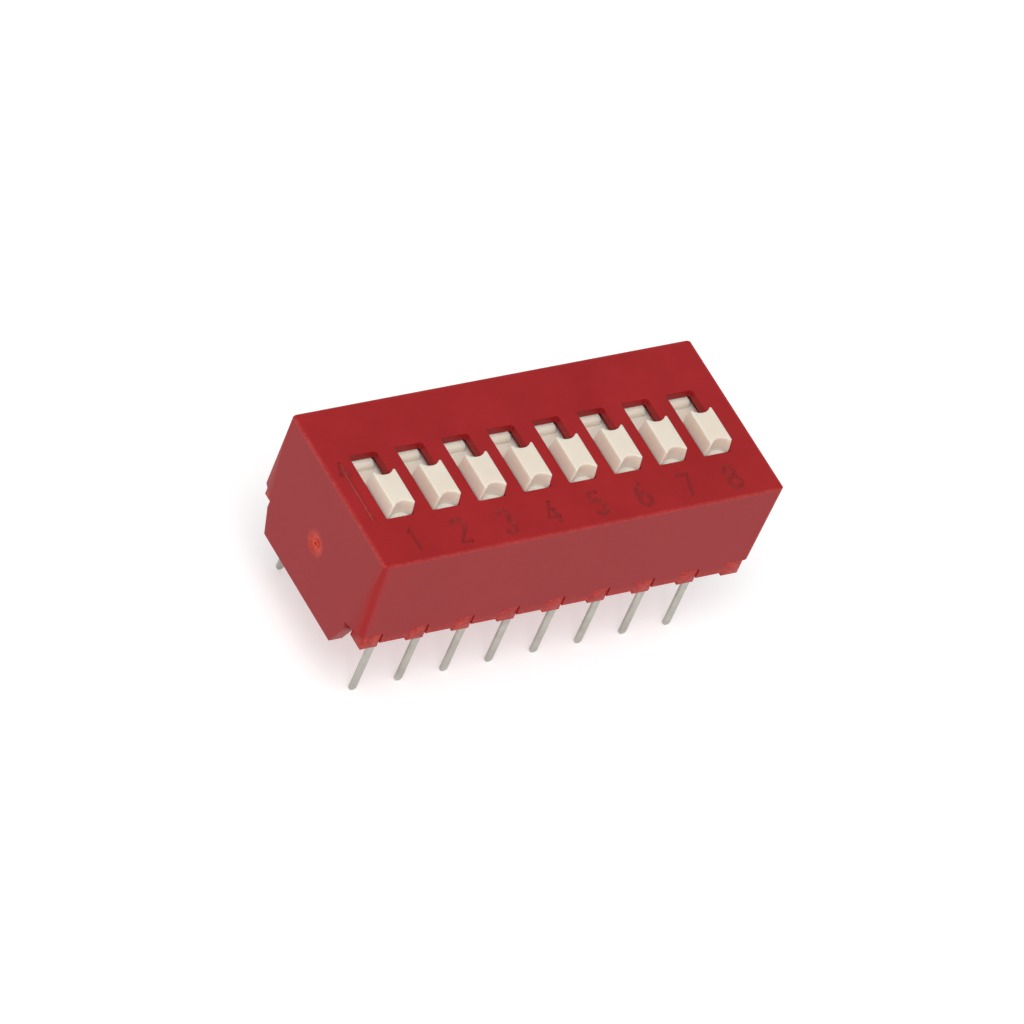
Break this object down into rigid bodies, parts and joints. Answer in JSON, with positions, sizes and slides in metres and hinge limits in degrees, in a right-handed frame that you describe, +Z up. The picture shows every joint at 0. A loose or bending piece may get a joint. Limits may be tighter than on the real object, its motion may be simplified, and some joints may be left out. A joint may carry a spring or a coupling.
{
  "type": "dip switch",
  "caption": "Slide dual-in-line switch with a row of scooped handles in a stepped housing, for through-hole boards.",
  "frame": {"origin": "middle of the face of the base rail that stands on the board", "axes": "+X along the row from position 1 to position 8, +Y towards the closed side of the slides, +Z up from the board"},
  "size_m": [0.0224, 0.01, 0.0112],
  "materials": {
    "housing_red": "moulded thermoplastic, even satin red with a slightly duller side wall",
    "base_red": "moulded thermoset base, satin red",
    "slide_ivory": "moulded ivory nylon, softly glossy",
    "tinned_strip": "tin plated copper alloy strip, satin",
    "gold_spring": "gold plated spring strip"
  },
  "bodies": {
    "housing": {"cover": "housing_red", "base": "base_red", "front_terminal_1": "tinned_strip", "front_terminal_2": "tinned_strip", "front_terminal_3": "tinned_strip", "front_terminal_4": "tinned_strip", "front_terminal_5": "tinned_strip", "front_terminal_6": "tinned_strip", "front_terminal_7": "tinned_strip", "front_terminal_8": "tinned_strip", "back_terminal_1": "tinned_strip", "back_terminal_2": "tinned_strip", "back_terminal_3": "tinned_strip", "back_terminal_4": "tinned_strip", "back_terminal_5": "tinned_strip", "back_terminal_6": "tinned_strip", "back_terminal_7": "tinned_strip", "back_terminal_8": "tinned_strip"},
    "switch_1": {"slide_1": "slide_ivory", "contact_1": "gold_spring"},
    "switch_2": {"slide_2": "slide_ivory", "contact_2": "gold_spring"},
    "switch_3": {"slide_3": "slide_ivory", "contact_3": "gold_spring"},
    "switch_4": {"slide_4": "slide_ivory", "contact_4": "gold_spring"},
    "switch_5": {"slide_5": "slide_ivory", "contact_5": "gold_spring"},
    "switch_6": {"slide_6": "slide_ivory", "contact_6": "gold_spring"},
    "switch_7": {"slide_7": "slide_ivory", "contact_7": "gold_spring"},
    "switch_8": {"slide_8": "slide_ivory", "contact_8": "gold_spring"}
  },
  "joints": [
    {"name": "switch_1_travel", "type": "slide", "parent": "housing", "child": "switch_1", "axis": [0, 1, 0], "range_m": [0, 0.00164]},
    {"name": "switch_2_travel", "type": "slide", "parent": "housing", "child": "switch_2", "axis": [0, 1, 0], "range_m": [0, 0.00164]},
    {"name": "switch_3_travel", "type": "slide", "parent": "housing", "child": "switch_3", "axis": [0, 1, 0], "range_m": [0, 0.00164]},
    {"name": "switch_4_travel", "type": "slide", "parent": "housing", "child": "switch_4", "axis": [0, 1, 0], "range_m": [0, 0.00164]},
    {"name": "switch_5_travel", "type": "slide", "parent": "housing", "child": "switch_5", "axis": [0, 1, 0], "range_m": [0, 0.00164]},
    {"name": "switch_6_travel", "type": "slide", "parent": "housing", "child": "switch_6", "axis": [0, 1, 0], "range_m": [0, 0.00164]},
    {"name": "switch_7_travel", "type": "slide", "parent": "housing", "child": "switch_7", "axis": [0, 1, 0], "range_m": [0, 0.00164]},
    {"name": "switch_8_travel", "type": "slide", "parent": "housing", "child": "switch_8", "axis": [0, 1, 0], "range_m": [0, 0.00164]}
  ]
}
